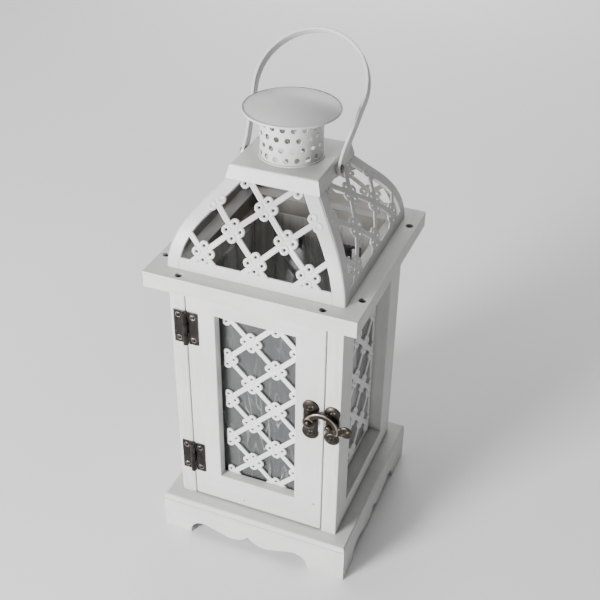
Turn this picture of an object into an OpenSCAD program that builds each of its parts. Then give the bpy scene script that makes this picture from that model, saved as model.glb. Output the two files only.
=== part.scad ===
// Candle lantern: a painted wooden case with glazed lattice windows and a hinged door,
// a pressed metal roof with the same lattice, a perforated chimney and a flat bail handle.
// Units are millimetres. The door faces -Y, +Z is up, and the origin is the centre of the
// footprint at the level that the feet stand on.

/* [Base] */
// Width and depth of the square base
base_w = 155; // [154:0.5:156]
// Height of the scalloped apron boards
apron_h = 29.3; // [28:0.1:31]
// Thickness of the apron boards
apron_t = 7.5; // [6:0.5:9]
// Thickness of the base board
base_board_t = 5.4; // [5:0.1:7]
// Rounding of the base board's upper edges
base_round_r = 2.6; // [1:0.1:3]
// Offset of each foot arch's centre from the middle of its apron
arch_x = 39.5; // [38:0.5:41]
// Height of each foot arch's centre
arch_z = 1.8; // [1:0.1:3]
// Radius of each foot arch
arch_r = 11.3; // [10:0.1:12]
// Offset of each hanging lobe's centre from the middle of its apron
lobe_x = 14.5; // [13:0.5:16]
// Radius of each hanging lobe
lobe_r = 18.3; // [17:0.1:20]
// Slope of the straight run between an arch and its lobe, in degrees
scallop_slope = 17; // [15:0.5:19]

/* [Case] */
// Outer width and depth of the case
case_w = 131.8; // [131:0.1:133]
// Height of the case, from the base board to the roof boards
case_h = 201.8; // [200:0.1:204]
// Thickness of every wooden frame member
frame_t = 12; // [11.5:0.1:12.5]
// Width of a side frame's stiles
side_stile_w = 23; // [21:0.5:24]
// Height of a side frame's bottom rail
side_bottom_rail_h = 16.8; // [15:0.1:20]
// Height of a side frame's top rail
side_top_rail_h = 17.3; // [15:0.1:20]

/* [Door and back panel] */
// Width of the window in the door and in the back panel
window_w = 62; // [58:0.5:64]
// Height of the window's lower edge above the base board
window_sill_h = 26.3; // [24:0.1:28]
// Height of the window
window_h = 154; // [150:0.5:156]
// Gap between the door and each side frame
door_side_gap = 0.6; // [0.4:0.1:1]
// Gap between the door and the base board
door_bottom_gap = 1; // [0.6:0.1:1.5]
// Gap between the door and the roof boards
door_top_gap = 0.8; // [0.6:0.1:1.5]
// Depth of the rebate that holds the glass
rebate_depth = 4.5; // [4:0.1:5]
// Width of the rebate all round the window
rebate_w = 5.5; // [4:0.5:7]
// Largest opening angle of the door
door_open_angle = 170; // [90:5:175]

/* [Lattice] */
// Spacing of the lattice's crossings, along and across
lattice_pitch = 19.15; // [18.5:0.05:20]
// Width of a lattice bar
bar_w = 4; // [3:0.1:4.4]
// Radius of the small discs round each crossing
disc_r = 3.5; // [3.2:0.1:3.7]
// Distance of those discs from the crossing
disc_offset = 5.1; // [4.8:0.1:5.6]
// Thickness of the lattice sheet
lattice_t = 1; // [0.8:0.1:1.2]
// Thickness of the window glass
glass_t = 2; // [1.5:0.1:2.5]
// Clearance of glass and lattice in the rebate
glazing_gap = 0.5; // [0.3:0.1:1]

/* [Roof] */
// Outer width of the mitred frame of roof boards
roof_board_w = 157; // [156:0.5:158]
// Thickness of the roof boards
roof_board_t = 12.4; // [11:0.1:13]
// Width of each roof board
roof_board_d = 24.4; // [22:0.1:25]
// Radius of the metal roof's swelling lower part
dome_r = 66; // [65:0.5:67]
// Depth of that radius's centre below the roof boards' top
dome_drop = 2; // [1:0.5:3]
// Angle at which the roof turns from its arc to a straight slope
dome_angle = 40.5; // [38:0.5:42]
// Thickness of the pressed sheet
sheet_t = 1; // [0.8:0.1:1.2]
// Width of the plain border round the roof's lattice
roof_border_w = 9.5; // [8:0.5:11]
// Width of the flared collar's lower edge
collar_w = 68.6; // [67:0.1:70]
// Width of the collar's flat top
collar_top_w = 64; // [62:0.5:65]
// Height of the collar
collar_h = 9.8; // [9:0.1:12]
// Rounding of the collar's upper edges
collar_round_r = 1.5; // [1.2:0.1:2]

/* [Chimney] */
// Outer radius of the chimney
chimney_r = 22; // [21:0.1:24]
// Radius of a vent hole
vent_r = 2; // [1.5:0.1:2.3]
// Number of vent holes in a row
vent_count = 18; // [12:1:20]
// Number of rows of vent holes
vent_rows = 4; // [2:1:4]
// Spacing of the rows of vent holes
vent_row_pitch = 7.3; // [6.5:0.1:8]
// Radius of the chimney cap
cap_r = 34; // [31:0.1:35]
// Rise of the chimney cap from its rim to its middle
cap_rise = 6; // [5:0.1:8]

/* [Bail] */
// Width of the bail's flat strip
bail_w = 8; // [6:0.5:9]
// Thickness of the bail's flat strip
bail_t = 2.2; // [1.5:0.1:2.5]
// Radius of the arch, to the middle of the strip
bail_arch_r = 40.8; // [39:0.1:42]
// Height of the arch's centre above the pivots, along the bail
bail_arch_h = 52.8; // [50:0.1:56]
// Length of the straight tab above each pivot
bail_tab_h = 10; // [8:0.5:12]
// Backward lean of the bail at rest, in degrees from upright
bail_lean = 40; // [0:5:60]

/* [Hinges] */
// Height of a hinge leaf
hinge_h = 28; // [26:0.5:30]
// Width of a hinge leaf, from the pin's axis
hinge_leaf_w = 9.4; // [8.5:0.1:10]
// Thickness of a hinge leaf
leaf_t = 1; // [0.8:0.1:1.2]
// Outer radius of the hinge knuckles
knuckle_r = 2; // [1.8:0.1:2.2]
// Radius of the hinge pin
pin_r = 0.95; // [0.8:0.05:1]
// Height of the lower hinge's middle
lower_hinge_z = 75.4; // [70:0.5:80]
// Height of the upper hinge's middle
upper_hinge_z = 200; // [190:0.5:205]

/* [Latch] */
// Height of the latch arm's pivot
latch_pivot_z = 145.3; // [140:0.1:155]
// Distance of the latch arm's pivot from the middle of the door
latch_pivot_x = 43.3; // [43:0.1:44]
// Thickness of the latch and keeper plates
plate_t = 1.2; // [1:0.1:1.5]
// Thickness of the latch arm
latch_arm_t = 2.2; // [1.8:0.1:2.5]
// Width of the latch arm's curved band
latch_arm_w = 4.8; // [4:0.1:5]
// Radius of the latch arm's curve, to the middle of the band
latch_curve_r = 11; // [11:0.1:11.4]

/* [Hidden] */

// Curve quality
$fn = 64;
small_fn = 32;
arc_steps = 10;

// Room for cutters to pass right through
through = 1;

// Case and base levels
case_z = apron_h + base_board_t;
case_top = case_z + case_h;
board_top = case_top + roof_board_t;
case_half = case_w / 2;
case_inner = case_half - frame_t;
window_half = window_w / 2;
sill_z = case_z + window_sill_h;
head_z = sill_z + window_h;
front_y = -case_half;

// Door
door_half = case_inner - door_side_gap;
door_z = case_z + door_bottom_gap;
door_top = case_top - door_top_gap;
rebate_half = window_half + rebate_w;

// Side windows
side_window_half = case_half - side_stile_w;
side_sill_z = case_z + side_bottom_rail_h;
side_head_z = case_top - side_top_rail_h;
side_lattice_gap = 0.9;
side_lattice_border = 3;
side_glass_margin = 5;

// Lattice crossings: one crossing of each sheet, from which the others follow
door_lattice_x0 = 12.7;
door_lattice_left = -28;
door_lattice_z0 = sill_z + 74.9;
side_lattice_z0 = side_sill_z + 86;
cell_half = lattice_pitch - bar_w / sqrt(2);
disc_from_cell = lattice_pitch - disc_offset;

// Scallop
scallop_start = -asin(arch_z / arch_r);
arch_end_x = arch_x - arch_r * sin(scallop_slope);
arch_end_z = arch_z + arch_r * cos(scallop_slope);
lobe_end_x = lobe_x + lobe_r * sin(scallop_slope);
lobe_end_z = arch_end_z - (arch_end_x - lobe_end_x) * tan(scallop_slope);
lobe_z = lobe_end_z + lobe_r * cos(scallop_slope);
cusp_angle = -180 + acos(lobe_x / lobe_r);
apron_l = base_w - apron_t;

// Roof profile, as a length along the slope from the roof boards' top
radian = 180 / PI;
dome_z = board_top - dome_drop;
dome_start = asin(dome_drop / dome_r);
collar_half = collar_w / 2;
collar_flare = (collar_w - collar_top_w) / 2;
collar_overhang = 0.5;
roof_top_half = collar_half - collar_overhang;
arc_l = dome_r * (dome_angle - dome_start) / radian;
slope_l = (dome_r * cos(dome_angle) - roof_top_half) / sin(dome_angle);
slope_total = arc_l + slope_l;
collar_z = dome_z + dome_r * sin(dome_angle) + slope_l * cos(dome_angle);
collar_top = collar_z + collar_h;
roof_lattice_s0 = 16.2;
roof_window_low = 9;
roof_window_high = slope_total - 1.5;
roof_window_step = 5;
disc_reach = 45 + asin((cell_half - disc_from_cell) / (disc_r * sqrt(2)));

// Chimney
chimney_wall = 0.8;
vent_first_z = 4.2;
vent_start = 2.2;
vent_row_turn = 0.56;
cap_sheet_t = 0.8;
cap_edge_r = 0.9;
cap_sphere_r = (cap_r * cap_r + cap_rise * cap_rise) / (2 * cap_rise);
cap_rim_z = collar_top + 33.3;
cap_top = cap_rim_z + cap_rise;
chimney_drop = cap_sphere_r - sqrt(cap_sphere_r * cap_sphere_r - chimney_r * chimney_r);
chimney_h = cap_top - chimney_drop - cap_sheet_t - collar_top;
flange_r = chimney_r + 1.2;
flange_t = 0.8;

// Bail
bail_gap = 0.25;
bail_pivot_h = 4.55;
bail_pivot_z = collar_z + bail_pivot_h;
bail_x = collar_half + bail_gap + bail_t / 2;
bail_reach = sqrt(pow(bail_x, 2) + pow(bail_arch_h - bail_tab_h, 2));
bail_low_angle = acos(bail_arch_r / bail_reach) - atan2(bail_arch_h - bail_tab_h, bail_x);
bail_steps = 64;
bail_eye_r = bail_w / 2 + 0.2;
rivet_r = 1.5;
rivet_head_r = 3;
rivet_head_h = 1.8;
rivet_tail_r = 2;
rivet_tail_h = 1;
rivet_gap = 0.25;

// Running and fixed clearances
running_gap = 0.06;
fixed_gap = 0.05;

// Hinges
hinge_x = -case_inner + door_side_gap / 2;
hinge_y = front_y - knuckle_r - 0.1;
knuckle_gap = 0.3;
knuckle_h = hinge_h / 3;
leaf_clear = knuckle_r + 0.4;
leaf_root = 0.4;
hinge_screw_x = 5.8;
hinge_screw_z = 10;
hinge_head_r = 1.9;
hinge_head_h = 0.8;
screw_shank_r = 1.1;
screw_shank_l = 8;
pin_head_r = 1.6;
pin_head_h = 0.6;

// Latch
lobe_plate_r = 6.4;
plate_waist_w = 11.4;
latch_lobe_dz = 11.5;
keeper_x = 59.9;
keeper_z = latch_pivot_z - 0.9;
keeper_lobe_r = 5.9;
keeper_lobe_dz = 11.7;
keeper_waist_w = 10.4;
latch_screw_r = 2.3;
latch_screw_h = 1.2;
boss_r = 4;
boss_h = 1.6;
arm_gap = 0.35;
arm_back = plate_t + boss_h + arm_gap;
arm_front = arm_back + latch_arm_t;
arm_root_r = 5;
arm_curve_x = latch_pivot_x + 9.8;
arm_curve_z = latch_pivot_z - 2.1;
arm_end_angle = -12;
arm_root_angle = 160;
arm_tab_r = 5.2;
arm_tab_x = latch_pivot_x + 28.1;
arm_tab_z = latch_pivot_z;
arm_neck_w = 5;
latch_rivet_r = 1.5;
latch_rivet_head_r = 3.4;
latch_rivet_head_h = 2;
stud_r = 2.8;
stud_x = arm_curve_x + 5.3;
stud_z = arm_curve_z + 1.4;
stud_h = arm_front + 0.8;

// Roof board screws
board_screw_out = 73.3;
board_screw_along = 53;
board_screw_hole_r = 2.8;
board_screw_head_r = 2.6;
board_screw_sink = 2.2;
board_screw_head_h = 1.8;
board_screw_l = 9;

// Finishes
paint = [0.95, 0.95, 0.94];
metal_paint = [0.93, 0.93, 0.92];
glass_tint = [0.85, 0.92, 0.92, 0.3];
bronze = [0.28, 0.24, 0.20];

// Points of an arc, from angle a0 to angle a1
function arc_points(cx, cy, r, a0, a1, steps = arc_steps) =
    [for (i = [0:steps]) [cx + r * cos(a0 + (a1 - a0) * i / steps), cy + r * sin(a0 + (a1 - a0) * i / steps)]];

// Distance of the roof's outer skin from the centre, and its height, at slope length s
function roof_out(s) = s <= arc_l
    ? dome_r * cos(dome_start + s / dome_r * radian)
    : roof_top_half + (slope_total - s) * sin(dome_angle);
function roof_z(s) = s <= arc_l
    ? dome_z + dome_r * sin(dome_start + s / dome_r * radian)
    : collar_z - (slope_total - s) * cos(dome_angle);

// Steepness of the hip at slope length s, which widens the border measured sideways
function hip_lean(s) = sin(min(dome_angle, dome_start + s / dome_r * radian));
function roof_window_out(s) = roof_out(s) - roof_border_w * sqrt(1 + pow(hip_lean(s), 2));

// A box between two corners
module span(low, high) {
    translate(low) cube(high - low);
}

// A round bar along Y, from y0 towards +Y
module rod_y(x, y0, z, r, l) {
    translate([x, y0, z]) rotate([-90, 0, 0]) cylinder(r = r, h = l, $fn = small_fn);
}

// A spherical cap of radius r and height h on the XY plane
module dome(r, h) {
    ball_r = (r * r + h * h) / (2 * h);
    intersection() {
        translate([0, 0, h - ball_r]) sphere(ball_r);
        cylinder(r = r + through, h = h + through, $fn = small_fn);
    }
}

// A crossed recess cut into a screw's head of height h
module cross_recess(size, h) {
    for (turn = [0, 90])
        rotate([0, 0, turn + 20]) translate([-size / 2, -size / 8, h / 2]) cube([size, size / 4, h]);
}

// A dome-headed screw that points into +Y, its head's seat at the origin
module dome_screw(head_r, head_h, shank_r, shank_l) {
    rotate([90, 0, 0]) difference() {
        union() {
            dome(head_r, head_h);
            translate([0, 0, -shank_l]) cylinder(r = shank_r, h = shank_l + head_h / 4, $fn = small_fn);
        }
        cross_recess(head_r * 1.2, head_h);
    }
}

// ---- Base ----

// Board with rounded upper edges, seen in section
module rounded_section(w, t, r) {
    translate([-w / 2, 0]) square([w, t - r]);
    translate([-w / 2 + r, 0]) square([w - 2 * r, t]);
    for (side = [-1, 1]) translate([side * (w / 2 - r), t - r]) circle(r, $fn = small_fn);
}

// Square block whose four upper edges are rounded
module rounded_block(w, t, r) {
    intersection() {
        translate([0, w / 2, 0]) rotate([90, 0, 0]) linear_extrude(w) rounded_section(w, t, r);
        translate([-w / 2, 0, 0]) rotate([90, 0, 90]) linear_extrude(w) rounded_section(w, t, r);
    }
}

module base_board() {
    color(paint) translate([0, 0, apron_h]) rounded_block(base_w, base_board_t, base_round_r);
}

// Cut-out under an apron: a foot arch and a lobe on each side of a pointed middle
module scallop() {
    right_side = concat(
        [[arch_x + arch_r * cos(scallop_start), -through]],
        arc_points(arch_x, arch_z, arch_r, scallop_start, 90 + scallop_slope),
        arc_points(lobe_x, lobe_z, lobe_r, scallop_slope - 90, cusp_angle));
    left_side = [for (i = [len(right_side) - 2:-1:0]) [-right_side[i][0], right_side[i][1]]];
    polygon(concat(right_side, left_side));
}

// The four aprons are alike. Each covers the end of the next one round.
module apron(turn) {
    color(paint) rotate([0, 0, turn]) translate([-base_w / 2, -base_w / 2 + apron_t, 0])
        rotate([90, 0, 0]) linear_extrude(apron_t) difference() {
            square([apron_l, apron_h]);
            translate([apron_l / 2, 0]) scallop();
        }
}

// ---- Side frames, modelled on the right (+X) ----

module side_stile(rear) {
    y0 = rear ? side_window_half : -case_half;
    color(paint) span([case_inner, y0, case_z], [case_half, y0 + side_stile_w, case_top]);
}

module side_rail(z0, z1) {
    color(paint) span([case_inner, -side_window_half, z0], [case_half, side_window_half, z1]);
}

module left_front_stile() {
    difference() {
        mirror([1, 0, 0]) side_stile(false);
        for (z = [lower_hinge_z, upper_hinge_z])
            for (dz = [-hinge_screw_z, hinge_screw_z])
                rod_y(hinge_x - hinge_screw_x, front_y - through, z + dz,
                      screw_shank_r + fixed_gap, screw_shank_l + through);
    }
}

module right_front_stile() {
    difference() {
        side_stile(false);
        for (dz = [-keeper_lobe_dz, keeper_lobe_dz])
            rod_y(keeper_x, front_y - through, keeper_z + dz,
                  screw_shank_r + fixed_gap, screw_shank_l + through);
    }
}

// Glass behind a side frame, on the right
module side_glass() {
    color(glass_tint)
        span([case_inner - glass_t, -side_window_half - side_glass_margin, side_sill_z - side_glass_margin],
             [case_inner, side_window_half + side_glass_margin, side_head_z + side_glass_margin]);
}

// ---- Lattice ----

// One open cell: a diamond whose corners stop at the discs
module lattice_cell() {
    difference() {
        intersection() {
            rotate(45) square(cell_half * sqrt(2), center = true);
            square(2 * disc_from_cell, center = true);
        }
        for (turn = [0:90:270])
            rotate(turn) translate([disc_from_cell, 0]) circle(disc_r, $fn = small_fn);
    }
}

// Open cells that lie round a crossing at (x0, z0), within reach of it
module lattice_cells(x0, z0, reach_x, reach_z) {
    columns = ceil(reach_x / lattice_pitch);
    rows = ceil(reach_z / lattice_pitch);
    for (i = [-columns:columns])
        for (j = [-rows:rows])
            if ((i + j) % 2 != 0)
                translate([x0 + i * lattice_pitch, z0 + j * lattice_pitch]) lattice_cell();
}

// Flat lattice sheet in the door or the back panel
module window_lattice() {
    color(metal_paint) translate([0, front_y + frame_t - rebate_depth + lattice_t, 0])
        rotate([90, 0, 0]) linear_extrude(lattice_t) difference() {
            translate([door_lattice_left, sill_z - rebate_w + glazing_gap])
                square([rebate_half - glazing_gap - door_lattice_left,
                        window_h + 2 * (rebate_w - glazing_gap)]);
            lattice_cells(door_lattice_x0, door_lattice_z0, window_w, window_h / 2 + lattice_pitch);
        }
}

// Flat lattice sheet in a side window, on the right
module side_lattice() {
    half = side_window_half - side_lattice_gap;
    low = side_sill_z + side_lattice_gap;
    high = side_head_z - side_lattice_gap;
    color(metal_paint) translate([case_inner, 0, 0]) rotate([90, 0, 90]) linear_extrude(lattice_t)
        difference() {
            translate([-half, low]) square([2 * half, high - low]);
            intersection() {
                lattice_cells(0, side_lattice_z0, case_half, side_head_z - side_lattice_z0);
                translate([-half + side_lattice_border, low + side_lattice_border])
                    square([2 * (half - side_lattice_border), high - low - 2 * side_lattice_border]);
            }
        }
}

// ---- Door and back panel ----

// Space of the rebate and the window, which the frame members leave free
module glazing_space() {
    span([-rebate_half, front_y + frame_t - rebate_depth, sill_z - rebate_w],
         [rebate_half, front_y + frame_t + through, head_z + rebate_w]);
}

module panel_stile(side, half_w, z0, z1) {
    x_in = side * window_half;
    x_out = side * half_w;
    difference() {
        span([min(x_in, x_out), front_y, z0], [max(x_in, x_out), front_y + frame_t, z1]);
        glazing_space();
    }
}

module panel_rail(z0, z1) {
    color(paint) difference() {
        span([-window_half, front_y, z0], [window_half, front_y + frame_t, z1]);
        glazing_space();
    }
}

module window_glass() {
    low_y = front_y + frame_t - rebate_depth + lattice_t;
    color(glass_tint)
        span([-rebate_half + glazing_gap, low_y, sill_z - rebate_w + glazing_gap],
             [rebate_half - glazing_gap, low_y + glass_t, head_z + rebate_w - glazing_gap]);
}

module door_hinge_stile() {
    color(paint) difference() {
        panel_stile(-1, door_half, door_z, door_top);
        for (z = [lower_hinge_z, upper_hinge_z])
            for (dz = [-hinge_screw_z, hinge_screw_z])
                rod_y(hinge_x + hinge_screw_x, front_y - through, z + dz,
                      screw_shank_r + fixed_gap, screw_shank_l + through);
    }
}

module door_latch_stile() {
    color(paint) difference() {
        panel_stile(1, door_half, door_z, door_top);
        for (dz = [-latch_lobe_dz, latch_lobe_dz])
            rod_y(latch_pivot_x, front_y - through, latch_pivot_z + dz,
                  screw_shank_r + fixed_gap, screw_shank_l + through);
    }
}

module to_back() {
    rotate([0, 0, 180]) children();
}

// ---- Roof boards ----

module roof_board(turn) {
    half = roof_board_w / 2;
    inner = half - roof_board_d;
    color(paint) rotate([0, 0, turn]) difference() {
        translate([0, 0, case_top]) linear_extrude(roof_board_t)
            polygon([[-half, -half], [half, -half], [inner, -inner], [-inner, -inner]]);
        for (side = [-1, 1]) translate([side * board_screw_along, -board_screw_out, 0]) {
            translate([0, 0, board_top - board_screw_sink - board_screw_head_h])
                cylinder(r = board_screw_hole_r, h = board_screw_sink + board_screw_head_h + through,
                         $fn = small_fn);
            translate([0, 0, board_top - board_screw_sink - board_screw_l])
                cylinder(r = screw_shank_r + fixed_gap, h = board_screw_l, $fn = small_fn);
        }
    }
}

module roof_board_screws() {
    head_seat = board_top - board_screw_sink - board_screw_head_h;
    for (turn = [0:90:270]) rotate([0, 0, turn])
        for (side = [-1, 1]) color(bronze)
            translate([side * board_screw_along, -board_screw_out, head_seat]) difference() {
                union() {
                    cylinder(r = board_screw_head_r, h = board_screw_head_h, $fn = small_fn);
                    translate([0, 0, board_screw_head_h - board_screw_l])
                        cylinder(r = screw_shank_r, h = board_screw_l - board_screw_head_h, $fn = small_fn);
                }
                cross_recess(board_screw_head_r * 1.2, board_screw_head_h);
            }
}

// ---- Metal roof, modelled on the right (+X) ----

// Section of the pressed sheet: an arc, then a straight slope up to the collar
module roof_section() {
    intersection() {
        translate([0, dome_z]) difference() {
            circle(dome_r, $fn = 180);
            circle(dome_r - sheet_t, $fn = 180);
        }
        polygon([[0, dome_z], [2 * dome_r, dome_z + 2 * dome_r * tan(dome_angle)], [2 * dome_r, board_top],
                 [0, board_top]]);
    }
    translate([0, dome_z]) rotate(dome_angle) translate([dome_r - sheet_t, 0])
        square([sheet_t, slope_l + sheet_t]);
}

// One open cell of the roof's lattice, laid along the slope. Each corner bends in round a disc.
module roof_cell(x, s) {
    ring = [for (turn = [0:90:270])
            for (p = arc_points(disc_from_cell, 0, disc_r, 180 + disc_reach, 180 - disc_reach))
                [p[0] * cos(turn) - p[1] * sin(turn), p[0] * sin(turn) + p[1] * cos(turn)]];
    polygon([for (p = ring) [x + p[0], roof_z(s + p[1])]]);
}

// Part of a panel that the lattice may pierce, seen from the side
module roof_window() {
    lengths = [roof_window_low:roof_window_step:roof_window_high];
    right_side = [for (s = lengths) [roof_window_out(s), roof_z(s)]];
    left_side = [for (i = [len(right_side) - 1:-1:0]) [-right_side[i][0], right_side[i][1]]];
    polygon(concat(right_side, left_side));
}

module roof_panel(turn) {
    rows = 4;
    columns = 3;
    color(metal_paint) rotate([0, 0, turn]) difference() {
        intersection() {
            translate([0, dome_r, 0]) rotate([90, 0, 0]) linear_extrude(2 * dome_r) roof_section();
            translate([0, 0, board_top]) linear_extrude(collar_z - board_top)
                polygon([[0, 0], [2 * dome_r, 2 * dome_r], [2 * dome_r, -2 * dome_r]]);
        }
        rotate([90, 0, 90]) linear_extrude(2 * dome_r) intersection() {
            roof_window();
            for (i = [-columns:columns])
                for (j = [0:rows - 1])
                    if ((i + j) % 2 != 0)
                        roof_cell(i * lattice_pitch, roof_lattice_s0 + j * lattice_pitch);
        }
    }
}

// Half width of the flared collar at height z above its lower edge
function collar_side(z) = collar_half - collar_flare * z / collar_h;

// Section of the collar's block, inset from its sides, from height low to high, with rounded upper corners
module collar_section(inset, low, high, r) {
    tilt = atan(collar_flare / collar_h);
    corner_x = collar_side(high - r) - inset - r / cos(tilt);
    tangent_x = corner_x + r * cos(tilt);
    tangent_z = high - r + r * sin(tilt);
    polygon([[-collar_side(low) + inset, low], [collar_side(low) - inset, low], [tangent_x, tangent_z],
             [corner_x, high], [-corner_x, high], [-tangent_x, tangent_z]]);
    for (side = [-1, 1]) translate([side * corner_x, high - r]) circle(r, $fn = small_fn);
}

module collar_block(inset, low, high, r) {
    intersection() {
        translate([0, collar_w / 2, 0]) rotate([90, 0, 0]) linear_extrude(collar_w)
            collar_section(inset, low, high, r);
        translate([-collar_w / 2, 0, 0]) rotate([90, 0, 90]) linear_extrude(collar_w)
            collar_section(inset, low, high, r);
    }
}

module roof_collar() {
    color(metal_paint) translate([0, 0, collar_z]) difference() {
        collar_block(0, 0, collar_h, collar_round_r);
        collar_block(sheet_t, -through, collar_h - sheet_t, collar_round_r - sheet_t);
        cylinder(r = chimney_r - chimney_wall, h = collar_h + through);
        translate([0, 0, bail_pivot_h]) rotate([0, 90, 0])
            cylinder(r = rivet_r + fixed_gap, h = collar_w + 2 * through, center = true, $fn = small_fn);
    }
}

// ---- Chimney ----

module chimney() {
    color(metal_paint) translate([0, 0, collar_top]) difference() {
        union() {
            cylinder(r = chimney_r, h = chimney_h);
            cylinder(r = flange_r, h = flange_t);
        }
        translate([0, 0, -through]) cylinder(r = chimney_r - chimney_wall, h = chimney_h + 2 * through);
        for (row = [0:vent_rows - 1])
            for (i = [0:vent_count - 1])
                translate([0, 0, vent_first_z + row * vent_row_pitch])
                    rotate([0, 0, vent_start + (i + row * vent_row_turn) * 360 / vent_count])
                        translate([chimney_r - chimney_wall - through, 0, 0]) rotate([0, 90, 0])
                            cylinder(r = vent_r, h = chimney_wall + 2 * through, $fn = small_fn);
    }
}

// Shallow domed cap with a rolled rim
module chimney_cap() {
    color(metal_paint) translate([0, 0, cap_rim_z]) rotate_extrude($fn = 96) {
        intersection() {
            translate([0, cap_rise - cap_sphere_r]) difference() {
                circle(cap_sphere_r, $fn = 720);
                circle(cap_sphere_r - cap_sheet_t, $fn = 720);
            }
            square([cap_r - cap_edge_r, cap_rise]);
        }
        translate([cap_r - cap_edge_r, 0]) circle(cap_edge_r, $fn = small_fn);
    }
}

// ---- Bail, drawn upright in the XZ plane with its pivots at height 0 ----

module bail_outline() {
    outer = bail_arch_r + bail_t / 2;
    inner = bail_arch_r - bail_t / 2;
    x_out = bail_x + bail_t / 2;
    x_in = bail_x - bail_t / 2;
    bend = bail_t / 2 * tan(-bail_low_angle / 2);
    high_angle = 180 - bail_low_angle;
    polygon(concat(
        [[x_out, 0], [x_out, bail_tab_h - bend]],
        arc_points(0, bail_arch_h, outer, bail_low_angle, high_angle, bail_steps),
        [[-x_out, bail_tab_h - bend], [-x_out, 0], [-x_in, 0], [-x_in, bail_tab_h + bend]],
        arc_points(0, bail_arch_h, inner, high_angle, bail_low_angle, bail_steps),
        [[x_in, bail_tab_h + bend], [x_in, 0]]));
}

module bail_handle() {
    color(metal_paint) translate([0, 0, bail_pivot_z]) rotate([-bail_lean, 0, 0]) difference() {
        union() {
            translate([0, bail_w / 2, 0]) rotate([90, 0, 0]) linear_extrude(bail_w) bail_outline();
            for (side = [-1, 1]) translate([side * bail_x, 0, 0]) rotate([0, 90, 0])
                cylinder(r = bail_eye_r, h = bail_t, center = true);
        }
        rotate([0, 90, 0]) cylinder(r = rivet_r + running_gap, h = 4 * bail_x, center = true, $fn = small_fn);
    }
}

module bail_rivets() {
    head_seat = bail_x + bail_t / 2 + rivet_gap;
    tail_seat = collar_side(bail_pivot_h + rivet_tail_r) - sheet_t - fixed_gap;
    for (side = [0, 180]) color(bronze)
        translate([0, 0, bail_pivot_z]) rotate([0, 0, side]) rotate([0, 90, 0]) {
            translate([0, 0, tail_seat - rivet_tail_h])
                cylinder(r = rivet_r, h = head_seat - tail_seat + rivet_tail_h + rivet_head_h / 2,
                         $fn = small_fn);
            translate([0, 0, tail_seat - rivet_tail_h])
                cylinder(r = rivet_tail_r, h = rivet_tail_h, $fn = small_fn);
            translate([0, 0, head_seat]) dome(rivet_head_r, rivet_head_h);
        }
}

// ---- Hinges, modelled with the pin's axis at x = 0, y = 0 and the hinge's middle at z = 0 ----

module hinge_place(z) {
    translate([hinge_x, hinge_y, z]) children();
}

// Leaf on one side (-1 frame, 1 door) that carries the knuckles in the listed thirds
module hinge_leaf(side, thirds) {
    plate_y = front_y - leaf_t - hinge_y;
    color(bronze) difference() {
        union() {
            translate([side > 0 ? leaf_clear : -hinge_leaf_w, plate_y, -hinge_h / 2])
                cube([hinge_leaf_w - leaf_clear, leaf_t, hinge_h]);
            for (third = thirds) {
                low = (third - 1.5) * knuckle_h + (third > 0 ? knuckle_gap / 2 : 0);
                high = (third - 0.5) * knuckle_h - (third < 2 ? knuckle_gap / 2 : 0);
                translate([0, 0, low]) cylinder(r = knuckle_r, h = high - low, $fn = small_fn);
                translate([side > 0 ? leaf_root : -leaf_clear, plate_y, low])
                    cube([leaf_clear - leaf_root, leaf_t, high - low]);
            }
        }
        cylinder(r = pin_r + fixed_gap, h = hinge_h + through, center = true, $fn = small_fn);
        for (dz = [-hinge_screw_z, hinge_screw_z])
            rod_y(side * hinge_screw_x, plate_y - through, dz, screw_shank_r + fixed_gap, leaf_t + 2 * through);
    }
}

module hinge_pin() {
    color(bronze) {
        cylinder(r = pin_r, h = hinge_h + pin_head_h, center = true, $fn = small_fn);
        translate([0, 0, hinge_h / 2]) dome(pin_head_r, pin_head_h);
        translate([0, 0, -hinge_h / 2]) mirror([0, 0, 1]) dome(pin_head_r, pin_head_h);
    }
}

// Screws of both hinges on one side (-1 frame, 1 door)
module hinge_screws(side) {
    for (z = [lower_hinge_z, upper_hinge_z])
        for (dz = [-hinge_screw_z, hinge_screw_z])
            color(bronze) translate([hinge_x + side * hinge_screw_x, front_y - leaf_t, z + dz])
                dome_screw(hinge_head_r, hinge_head_h, screw_shank_r, screw_shank_l + leaf_t - 1);
}

// ---- Latch ----

// Extrusion of a front-view outline, from depth y0 to y1 in front of the case
module raised(y0, y1) {
    translate([0, front_y - y0, 0]) rotate([90, 0, 0]) linear_extrude(y1 - y0) children();
}

// Plate with a round lobe at each end and a waist between them
module lobed_outline(x, z, r, dz, waist) {
    for (side = [-1, 1]) translate([x, z + side * dz]) circle(r);
    translate([x - waist / 2, z - dz]) square([waist, 2 * dz]);
}

module screw_holes(x, z, dz) {
    for (side = [-1, 1]) translate([x, z + side * dz]) circle(screw_shank_r + fixed_gap, $fn = small_fn);
}

module latch_plate() {
    color(bronze) {
        raised(0, plate_t) difference() {
            lobed_outline(latch_pivot_x, latch_pivot_z, lobe_plate_r, latch_lobe_dz, plate_waist_w);
            screw_holes(latch_pivot_x, latch_pivot_z, latch_lobe_dz);
            translate([latch_pivot_x, latch_pivot_z]) circle(latch_rivet_r + fixed_gap, $fn = small_fn);
        }
        raised(plate_t, plate_t + boss_h) translate([latch_pivot_x, latch_pivot_z]) difference() {
            circle(boss_r);
            circle(latch_rivet_r + fixed_gap, $fn = small_fn);
        }
    }
}

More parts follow.
